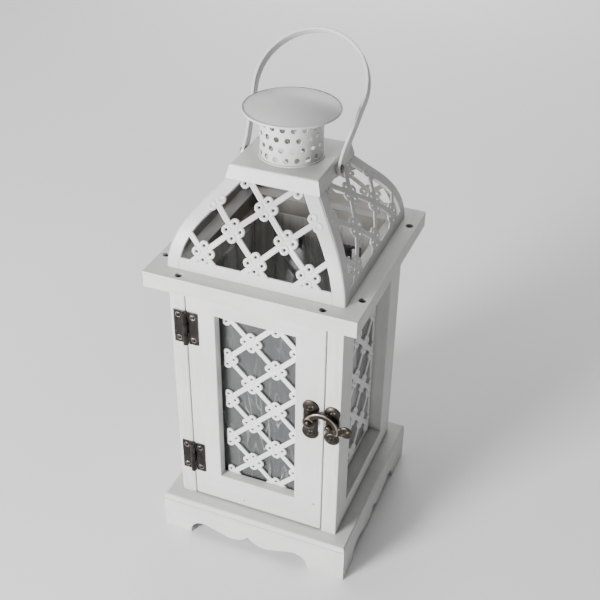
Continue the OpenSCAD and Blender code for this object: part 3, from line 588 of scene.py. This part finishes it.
# Section of a bar: (across, height), with two soft ridges
BAR = [(-BAR_HALF, SHEET_BACK), (-BAR_HALF, -0.15), (-1.65, 0.12), (-1.1, 0.28),
       (-0.55, 0.18), (0.0, 0.02), (0.55, 0.18), (1.1, 0.28), (1.65, 0.12),
       (BAR_HALF, -0.15), (BAR_HALF, SHEET_BACK)]
# Section of a disc: (radius, height), with a raised rim round its hole and at its edge
DISC = [(1.05, SHEET_BACK), (1.0, -0.1), (1.25, 0.16), (1.7, 0.34), (2.3, 0.4), (2.9, 0.4),
        (3.3, 0.24), (DISC_R, -0.05), (DISC_R, SHEET_BACK)]
SHORTEST_BAR = 1.5
BARS_EACH_WAY = 6
DISCS_EACH_WAY = 8
# How far a bar may reach from its middle, and the length of its quads
FLAT_FAR, FLAT_STEP = 130, 12
ROOF_FAR, ROOF_STEP = 110, 2.5


def reach(inside, u, v, du, dv, far):
    """First and last distance along a line at which it is inside a convex region, or None."""
    step, halvings = 0.5, 12
    hits = [k for k in range(int(2 * far / step) + 1)
            if inside(u + du * (k * step - far), v + dv * (k * step - far))]
    if not hits:
        return None
    ends = []
    for k, way in ((hits[0], -1), (hits[-1], 1)):
        good, bad = k * step - far, (k + way) * step - far
        for _ in range(halvings):
            mid = (good + bad) / 2
            if inside(u + du * mid, v + dv * mid):
                good = mid
            else:
                bad = mid
        ends.append(good)
    return ends


def add_bar(bm, place, inside, u, v, du, dv, far, step):
    """One lattice bar through (u, v), cut where the region ends."""
    spans = []
    for t, _ in BAR:
        span = reach(inside, u - dv * t, v + du * t, du, dv, far)
        if span is None:
            return
        spans.append(span)
    longest = max(b - a for a, b in spans)
    if longest < SHORTEST_BAR:
        return
    count = max(1, int(longest / step))
    rows = []
    for k in range(count + 1):
        row = []
        for (t, h), (a, b) in zip(BAR, spans):
            s = a + (b - a) * k / count
            row.append(bm.verts.new(place(u - dv * t + du * s, v + du * t + dv * s, h)))
        rows.append(row)
    skin(bm, rows, caps=True)


def add_lattice(bm, place, inside, keep_disc, crossing, far, step):
    """Crossing bars with four pierced discs round each crossing."""
    u0, v0 = crossing
    diagonal = math.sqrt(0.5)
    for k in range(-BARS_EACH_WAY, BARS_EACH_WAY + 1):
        u = u0 + 2 * PITCH * k
        for way in (1, -1):
            add_bar(bm, place, inside, u, v0, diagonal, diagonal * way, far, step)
    for i in range(-DISCS_EACH_WAY, DISCS_EACH_WAY + 1):
        for j in range(-DISCS_EACH_WAY, DISCS_EACH_WAY + 1):
            if (i + j) % 2:
                continue
            for a in range(4):
                cu = u0 + i * PITCH + DISC_OFFSET * math.cos(a * math.pi / 2)
                cv = v0 + j * PITCH + DISC_OFFSET * math.sin(a * math.pi / 2)
                if keep_disc(cu, cv):
                    turn(bm, place, cu, cv, DISC)


def add_margin(bm, place, sheet, width):
    """The plain rim of a sheet, as a frame with a rolled inner edge."""
    left, bottom, right, top = sheet
    loop = [(0.0, SHEET_BACK), (0.0, 0.0), (width - 0.5, 0.02), (width - 0.15, -0.1),
            (width, -0.35), (width, SHEET_BACK)]
    corners = [(left, bottom, 1, 1), (right, bottom, -1, 1), (right, top, -1, -1),
               (left, top, 1, -1)]
    rows = [[bm.verts.new(place(u + a * t, v + b * t, h)) for t, h in loop]
            for u, v, a, b in corners]
    skin(bm, rows, close_rows=True)


def window_lattice(name, body, way):
    """The sheet in the door (way is 1) or in the back panel (way is -1)."""
    left, bottom, right, top = DOOR_SHEET
    shoulder = -CASE_HALF + FRAME_T - REBATE_DEPTH

    def place(u, v, h):
        u = max(left, min(right, u))
        v = max(bottom, min(top, v))
        return Vector((way * u, way * (shoulder + DOOR_SHEET_GAP - h), v)) * MM

    def inside(u, v):
        return left <= u <= right and bottom <= v <= top

    def keep_disc(u, v):
        return left + 0.5 < u < right and bottom < v < top

    bm = bmesh.new()
    add_lattice(bm, place, inside, keep_disc, DOOR_CROSSING, FLAT_FAR, FLAT_STEP)
    add_piece(name + "_sheet", bm, [LATTICE_PAINT], body, [name])


def side_lattice(name, way):
    """The sheet in a side window, inside its plain margin."""
    left, bottom, right, top = SIDE_SHEET
    margin = SIDE_MARGIN
    tuck = 1.0  # the bars run this far under the margin

    def place(u, v, h):
        return Vector((way * (CASE_INNER + SHEET + h), u, v)) * MM

    def inside(u, v):
        return (left + margin - tuck <= u <= right - margin + tuck
                and bottom + margin - tuck <= v <= top - margin + tuck)

    def keep_disc(u, v):
        return left + margin < u < right - margin and bottom + margin < v < top - margin

    bm = bmesh.new()
    add_margin(bm, place, SIDE_SHEET, margin)
    add_lattice(bm, place, inside, keep_disc, SIDE_CROSSING, FLAT_FAR, FLAT_STEP)
    add_piece(name + "_sheet", bm, [LATTICE_PAINT], "case", [name])


# ---------------------------------------------------------------- metal roof

def roof_angle(s):
    """Slope of the roof's normal above level, at slope length s."""
    return min(DOME_ANGLE, DOME_START + s / DOME_R)


def roof_out(s):
    """Distance of the roof's skin from the middle, at slope length s."""
    if s <= ARC_L:
        return DOME_R * math.cos(DOME_START + s / DOME_R)
    return ROOF_TOP_HALF + (SLOPE_TOTAL - s) * math.sin(DOME_ANGLE)


def roof_z(s):
    """Height of the roof's skin, at slope length s."""
    if s <= ARC_L:
        return DOME_Z + DOME_R * math.sin(DOME_START + s / DOME_R)
    return COLLAR_Z - (SLOPE_TOTAL - s) * math.cos(DOME_ANGLE)


def roof_window(s):
    """Half the width of the pierced part, at slope length s."""
    return roof_out(s) - BORDER * math.sqrt(1 + math.sin(roof_angle(s)) ** 2)


def roof_depth(point):
    """How far a point of the front panel lies outside the roof's skin, and the way out there."""
    out, up = -point.y, point.z - DOME_Z
    a = min(DOME_ANGLE, math.atan2(up, out))
    return out * math.cos(a) + up * math.sin(a) - DOME_R, Vector((0, -math.cos(a), math.sin(a)))


def add_hip(bm, place, side):
    """Plain border up a hip: outer edge rounded into the next panel, inner edge turned in."""
    count = 28
    rows = []
    for k in range(count + 1):
        s = SLOPE_TOTAL * k / count
        edge, inner = roof_out(s), roof_window(s)
        points = [(edge - d * HIP_ROUND, -HIP_ROUND * (1 - math.sqrt(1 - (1 - d) ** 2)))
                  for d in (0.293, 0.5, 0.75, 1.0)]
        points += [(inner + 0.4, 0.0), (inner, -0.3), (inner, -HEM), (inner + HEM_T, -HEM),
                   (inner + HEM_T, -SHEET), (edge - SHEET * math.cos(roof_angle(s)), -SHEET)]
        rows.append([bm.verts.new(place(side * u, s, h)) for u, h in points])
    skin(bm, rows, caps=True)


def add_foot_band(bm, place):
    """Plain band along the foot, from one hip's border to the other's."""
    count = 24
    section = [(0.0, 0.0), (3.0, 0.0), (6.0, 0.0), (FOOT_BAND - 0.4, 0.0), (FOOT_BAND, -0.3),
               (FOOT_BAND, -SHEET), (4.0, -SHEET), (0.0, -SHEET)]
    rows = []
    for k in range(count + 1):
        f = -1 + 2 * k / count
        rows.append([bm.verts.new(place(f * (roof_window(s) + 0.02), s, h))
                     for s, h in section])
    skin(bm, rows, caps=True)


def roof_panel(name, quarter):
    """One side of the roof, turned by quarter turns from the front."""
    turned = Matrix.Rotation(math.radians(90 * quarter), 3, "Z")

    def place(u, v, h):
        s = max(0.0, min(SLOPE_TOTAL, v))
        a = roof_angle(s)
        point = Vector((u, -(roof_out(s) + h * math.cos(a)), roof_z(s) + h * math.sin(a)))
        return turned @ point * MM

    def inside(u, v):
        return FOOT_BAND - 1.2 <= v <= SLOPE_TOTAL and abs(u) <= roof_window(v) + 1.2

    def keep_disc(u, v):
        return (FOOT_BAND + 1.0 <= v <= SLOPE_TOTAL + 1.0
                and abs(u) <= roof_window(min(v, SLOPE_TOTAL)) + 4.2)

    def faces_in(face):
        point = turned.inverted() @ (face.calc_center_median() / MM)
        depth, outward = roof_depth(point)
        normal = turned.inverted() @ face.normal
        return depth < -0.9 * SHEET and normal.dot(outward) < -0.5

    bm = bmesh.new()
    add_lattice(bm, place, inside, keep_disc, ROOF_CROSSING, ROOF_FAR, ROOF_STEP)
    for side in (-1, 1):
        add_hip(bm, place, side)
    add_foot_band(bm, place)
    add_piece(name + "_sheet", bm, [ENAMEL, INNER_METAL], "case", [name],
              second=faces_in)


def chimney_cap():
    """Shallow dome with a rolled rim and a small pressed ring in its middle."""
    r, rise, roll_r, thick = 34.0, 6.0, 0.9, 0.8
    ring_in, ring_out, ring_depth = 2.2, 3.6, 0.18
    count = 24
    ball = (r * r + rise * rise) / (2 * rise)
    rim = COLLAR_Z + COLLAR_H + CAP_LIFT

    def point(a, x, z):
        return Vector((x * math.cos(a), x * math.sin(a), z)) * MM

    outer = []
    for k in range(count + 1):
        x = (r - roll_r) * (k / count)
        z = rim + rise - ball + math.sqrt(ball * ball - x * x)
        outer.append((x, z - ring_depth if ring_in < x < ring_out else z))
    roll = [(r - roll_r + roll_r * math.cos(a), rim + roll_r * math.sin(a))
            for a in (math.radians(80 - 40 * i) for i in range(7))]
    inner = [(x, z - thick) for x, z in reversed(outer[:-1])]
    bm = bmesh.new()
    rows = spin(bm, outer[1:] + roll + inner[:-1], 96, point)
    skin(bm, rows, close_rows=True, close_loop=False)
    for end in (0, -1):
        bm.faces.new([row[end] for row in rows])
    add_piece("chimney_cap_sheet", bm, [ENAMEL], "case", ["chimney_cap"],
              sharp=50)


# ---------------------------------------------------------------- bail

def bail_handle():
    """Flat strip with rounded edges, bent to an arch, with an eye at each end."""
    s_tab, s_arch, r_arch = 10.0, 52.8, 40.8
    half_w, half_t, edge = 4.0, 1.1, 0.6
    dist = math.hypot(BAIL_TAB_X, s_arch - s_tab)
    low = math.degrees(math.acos(r_arch / dist) - math.atan2(s_arch - s_tab, BAIL_TAB_X))
    arch = arc(0, s_arch, r_arch, low, 180 - low, 72)
    x_start, s_start = arch[0]
    right = [(BAIL_TAB_X, s) for s in (0.0, 3.0, 6.0, 9.0)]
    right += [(BAIL_TAB_X + (x_start - BAIL_TAB_X) * f, s_tab + (s_start - s_tab) * f)
              for f in (0.02, 0.3, 0.6, 0.9)]
    path = right + arch + [(-x, s) for x, s in reversed(right)]
    cos, sin = math.cos(BAIL_LEAN), math.sin(BAIL_LEAN)

    def place(x, s, h):
        return Vector((x, s * sin - h * cos, BAIL_Z + s * cos + h * sin)) * MM

    section = []
    for a, b, a0 in ((1, 1, 0), (-1, 1, 90), (-1, -1, 180), (1, -1, 270)):
        section += arc(a * (half_t - edge), b * (half_w - edge), edge, a0, a0 + 90, 3)
    bm = bmesh.new()
    sweep(bm, place, [(x, s, 1) for x, s in path], section)
    eye = [(PIVOT_R, -1.0), (1.66, -1.1), (3.6, -1.1), (4.1, -0.8), (4.2, 0.0), (4.1, 0.8),
           (3.6, 1.1), (1.66, 1.1), (PIVOT_R, 1.0)]
    for side in (-1, 1):
        def point(a, r, h, side=side):
            return place(side * BAIL_TAB_X + h, r * math.sin(a), r * math.cos(a))

        skin(bm, spin(bm, eye, 40, point), close_rows=True)
    add_piece("bail_strip", bm, [ENAMEL], "bail", ["bail_handle"])


def bail_rivets():
    """A round-headed rivet through each side of the collar."""
    loop = [(0.2, 34.0), (1.5, 34.0), (1.5, 36.95), (2.5, 36.95), (2.7, 37.25),
            (2.45, 37.9), (1.7, 38.4), (0.8, 38.6), (0.2, 38.62)]
    bm = bmesh.new()
    for side in (-1, 1):
        def point(a, r, x, side=side):
            return Vector((side * x, r * math.sin(a), BAIL_Z + r * math.cos(a))) * MM

        skin(bm, spin(bm, loop, 32, point), close_rows=True)
    add_piece("bail_rivet_heads", bm, [RIVET_BROWN], "case",
              ["bail_rivets"])


# ---------------------------------------------------------------- latch and trim

def lobed_outline(x, z, r, dz, waist):
    """Two arcs of radius r, dz above and below the middle, that meet at the waist."""
    open_angle = math.degrees(math.acos(waist / 2 / r))
    top = arc(x, z + dz, r, -open_angle, 180 + open_angle, 24)
    bottom = arc(x, z - dz, r, 180 - open_angle, 360 + open_angle, 24)
    return top + bottom


def lobed_plate(name, x, z, r, dz, waist, body, nodes, extra):
    """Cast plate whose two lobes swell into low domes round their screws."""
    bm = bmesh.new()
    plate(bm, front, lobed_outline(x, z, r, dz, waist), 1.2, 0.8)
    dome = [(1.2, 0.9), (1.2, 1.62), (2.0, 1.78), (2.9, 1.74), (3.8, 1.55), (4.6, 1.3),
            (r - 0.9, 1.0), (r - 0.9, 0.8)]
    for side in (-1, 1):
        turn(bm, front, x, z + side * dz, dome, 40)
    extra(bm)
    add_piece(name, bm, [BRONZE], body, nodes, sharp=50)


def latch_boss(bm):
    """The boss that the latch arm turns on."""
    loop = [(PIVOT_R, 1.0), (PIVOT_R, 2.8), (3.4, 2.8), (3.8, 2.6), (4.1, 1.0)]
    turn(bm, front, LATCH_X, LATCH_Z, loop, 32)


def keeper_stud(bm):
    """The stud that the latch arm drops over."""
    loop = [(0.3, 1.0), (0.3, 6.1), (1.6, 6.1), (2.3, 5.85), (2.75, 5.2), (2.8, 1.0)]
    turn(bm, front, HORN_X + 5.3, HORN_Z + 1.4, loop, 32)


def latch_arm():
    """Horn-shaped arm: a boss at the rivet, a crescent over the keeper and a finger tab."""
    mid = 4.25  # from the case's front face to the middle of the arm's thickness

    def raised(u, v, h):
        return front(u, v, h + mid)

    bm = bmesh.new()
    curve = arc(HORN_X, HORN_Z, HORN_R, 160, -12, 44)
    path = []
    for k, (u, v) in enumerate(curve):
        f = k / (len(curve) - 1)
        wide = 0.94 + 0.06 * math.sin(math.pi * f) - 0.25 * max(0.0, f - 0.9) / 0.1
        path.append((u, v, wide))
    section = [(-2.4, -0.7), (-2.4, 0.2), (-2.0, 0.72), (-1.2, 0.86), (-0.2, 0.74),
               (0.6, 0.72), (1.1, 0.95), (1.6, 1.1), (2.1, 0.95), (2.4, 0.4), (2.4, -0.7),
               (2.0, -1.1), (-2.0, -1.1)]
    sweep(bm, raised, path, section)
    wear_and_highlight = set()  # the crescent's outer ridge: rubbed bright by wear, and a painted highlight along its lit upper rim
    for face in bm.faces:
        centre = face.calc_center_median() / MM
        out = math.hypot(centre.x - HORN_X, centre.z - HORN_Z) - HORN_R
        if out > 0.7 and -centre.y - CASE_HALF > mid + 0.5:
            wear_and_highlight.add(face)
    tab_u = LATCH_X + 28.1
    neck_u = HORN_X + HORN_R - 1.2
    neck = [(neck_u + (tab_u - neck_u) * f, HORN_Z - 0.4 + (LATCH_Z - HORN_Z + 0.4) * f, wide)
            for f, wide in ((0.0, 1.3), (0.2, 1.22), (0.4, 1.2), (0.6, 1.3), (0.8, 1.55),
                            (1.0, 1.7), (1.2, 1.6))]
    ring = [2 * math.pi * k / 16 for k in range(16)]
    sweep(bm, raised, neck, [(2.9 * math.cos(a), 0.98 * math.sin(a)) for a in ring])
    boss = [(PIVOT_R, -1.1), (PIVOT_R, 0.95), (1.9, 1.1), (3.9, 1.1), (4.7, 0.7), (5.0, 0.0),
            (4.7, -0.8), (4.2, -1.1)]
    turn(bm, raised, LATCH_X, LATCH_Z, boss, 40)
    knob = [(0.3, -1.1), (3.8, -1.1), (4.8, -0.75), (5.2, -0.1), (5.0, 0.45), (4.3, 0.85),
            (3.2, 1.04), (1.8, 1.1), (0.3, 1.1)]
    turn(bm, raised, tab_u, LATCH_Z, knob, 40)
    # painted highlight, with wear: the outer ridge takes the lighter bronze
    for face in wear_and_highlight:
        face.material_index = 1
    add_piece("latch_horn", bm, [BRONZE, WORN_AND_HIGHLIT_BRONZE], "latch",
              ["latch_arm"], sharp=50)


def hinge_screw_rims(name, body, side):
    """The bright ring of wear where each hinge screw's head meets its leaf."""
    r, height = 1.95, 1.0
    turns = [2 * math.pi * k / 10 for k in range(10)]
    loop = [(r + 0.22 * math.cos(a), height + 0.18 * math.sin(a)) for a in turns]
    bm = bmesh.new()
    for z in HINGE_HEIGHTS:
        for dz in (-HINGE_SCREW_Z, HINGE_SCREW_Z):
            turn(bm, front, side * HINGE_SCREW_X + HINGE_X, z + dz, loop, 28)
    add_piece(name, bm, [WORN_AND_HIGHLIT_BRONZE], body)


def door_nails():
    """Small set nail heads under the paint."""
    loop = [(0.15, -0.2), (0.15, 0.04), (0.6, 0.06), (0.85, 0.02), (0.95, -0.2)]
    bm = bmesh.new()
    for x, z in ((-11.5, 41.7), (47.2, 60.6), (23.7, 227.7)):
        turn(bm, front, x, z, loop)
    add_piece("door_nail_heads", bm, [WORN_AND_HIGHLIT_BRONZE], "door")


# ---------------------------------------------------------------- carried-over CAD nodes

GRAIN = {
    "x": ["base_board", "apron_front", "apron_back", "roof_board_front", "roof_board_back"],
    "y": ["apron_left", "apron_right", "roof_board_left", "roof_board_right"],
}


def dress(node, material):
    """Gives a CAD node its material."""
    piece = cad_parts[node]
    piece.data.materials.clear()
    piece.data.materials.append(material)
    return piece


def soften(piece, width, segments=2):
    """Rounds a CAD node's hard edges by width millimetres, with modifiers."""
    weld = piece.modifiers.new("weld", "WELD")
    weld.merge_threshold = 1e-6
    bevel = piece.modifiers.new("bevel", "BEVEL")
    bevel.width = width * MM
    bevel.segments = segments
    bevel.limit_method = "ANGLE"
    bevel.angle_limit = math.radians(40)
    bevel.use_clamp_overlap = True
    normal = piece.modifiers.new("normal", "WEIGHTED_NORMAL")
    normal.keep_sharp = True


def dress_wood():
    for axis, names in GRAIN.items():
        for name in names:
            soften(dress(name, BOARD_WOOD[axis]), 1.1 if name.startswith("roof_board") else 0.7)


def dress_metal():
    for name in ("roof_collar", "chimney"):
        dress(name, ENAMEL)
    for where in ("upper", "lower"):
        for part in ("frame", "door"):
            soften(dress(where + "_hinge_" + part + "_leaf", HINGE_BRONZE), 0.2)
        dress(where + "_hinge_pin", HINGE_BRONZE)
    for part in ("frame_hinge", "door_hinge", "latch_plate", "keeper"):
        dress(part + "_screws", HINGE_BRONZE)
    soften(dress("latch_rivet", BRONZE), 0.5, 3)
    dress("roof_board_screws", STEEL)


def dress_glass():
    for name in ("left_glass", "back_glass"):
        dress(name, HAZY_GLASS)
    dress("right_glass", SIDE_GLASS)
    dress("door_glass", DOOR_GLASS)


# ---------------------------------------------------------------- stage, in metres

def floor():
    bm = bmesh.new()
    bmesh.ops.create_grid(bm, x_segments=2, y_segments=2, size=6.0)
    mesh = bpy.data.meshes.new("floor")
    bm.to_mesh(mesh)
    bm.free()
    mesh.materials.append(pale_floor())
    new_object("floor", mesh)


def area_light(name, location, target, size, power):
    light = bpy.data.lights.new(name, "AREA")
    light.shape = "DISK"
    light.size = size
    light.energy = power
    lamp = new_object(name, light)
    lamp.location = location
    aim = Vector(target) - Vector(location)
    lamp.rotation_euler = aim.to_track_quat("-Z", "Y").to_euler()


def lights():
    """A low key from the front left, soft light from above and behind, a dim surround."""
    area_light("key", (-0.92, -1.72, 0.58), (0, 0, 0.24), 0.7, 92)
    area_light("top", (-0.1, 0.1, 2.2), (0, 0, 0.2), 1.3, 15)
    area_light("back", (-0.45, 1.75, 0.85), (0, 0, 0.15), 1.2, 15)
    world = bpy.data.worlds.new("studio")
    world.use_nodes = True
    background = world.node_tree.nodes["Background"]
    background.inputs["Color"].default_value = (1, 1, 1, 1)
    background.inputs["Strength"].default_value = 0.11
    bpy.context.scene.world = world


def camera():
    """The photograph's view, fitted to the straight edges of the base, case and roof."""
    azimuth, pitch, roll = (math.radians(a) for a in (21.5723, 34.5413, -0.7988))
    ahead = Vector((-math.sin(azimuth) * math.cos(pitch),
                    math.cos(azimuth) * math.cos(pitch), -math.sin(pitch)))
    right = ahead.cross(Vector((0, 0, 1))).normalized()
    down = ahead.cross(right)
    turned_right = math.cos(roll) * right + math.sin(roll) * down
    turned_down = -math.sin(roll) * right + math.cos(roll) * down
    lens = bpy.data.cameras.new("camera")
    lens.sensor_width = 36.0
    lens.lens = 61.06
    lens.clip_start = 0.05
    lens.clip_end = 30
    eye = new_object("camera", lens)
    basis = Matrix((turned_right, -turned_down, -ahead)).transposed().to_4x4()
    eye.matrix_world = Matrix.Translation((0.239, -0.585, 0.6311)) @ basis
    bpy.context.scene.camera = eye


# ---------------------------------------------------------------- build

camera()
lights()
floor()
dress_wood()
dress_metal()
dress_glass()
wooden_frames()
window_lattice("door_lattice", "door", 1)
window_lattice("back_lattice", "case", -1)
side_lattice("right_lattice", 1)
side_lattice("left_lattice", -1)
for quarter, side_name in enumerate(("front", "right", "back", "left")):
    roof_panel("roof_panel_" + side_name, quarter)
chimney_cap()
bail_handle()
bail_rivets()
lobed_plate("latch_plate_cast", LATCH_X, LATCH_Z, 6.4, 11.5, 11.4, "door",
            ["latch_plate"], latch_boss)
lobed_plate("latch_keeper_cast", KEEPER_X, KEEPER_Z, 5.9, 11.7, 10.4, "case",
            ["latch_keeper"], keeper_stud)
latch_arm()
hinge_screw_rims("frame_hinge_screw_rims", "case", -1)
hinge_screw_rims("door_hinge_screw_rims", "door", 1)
door_nails()
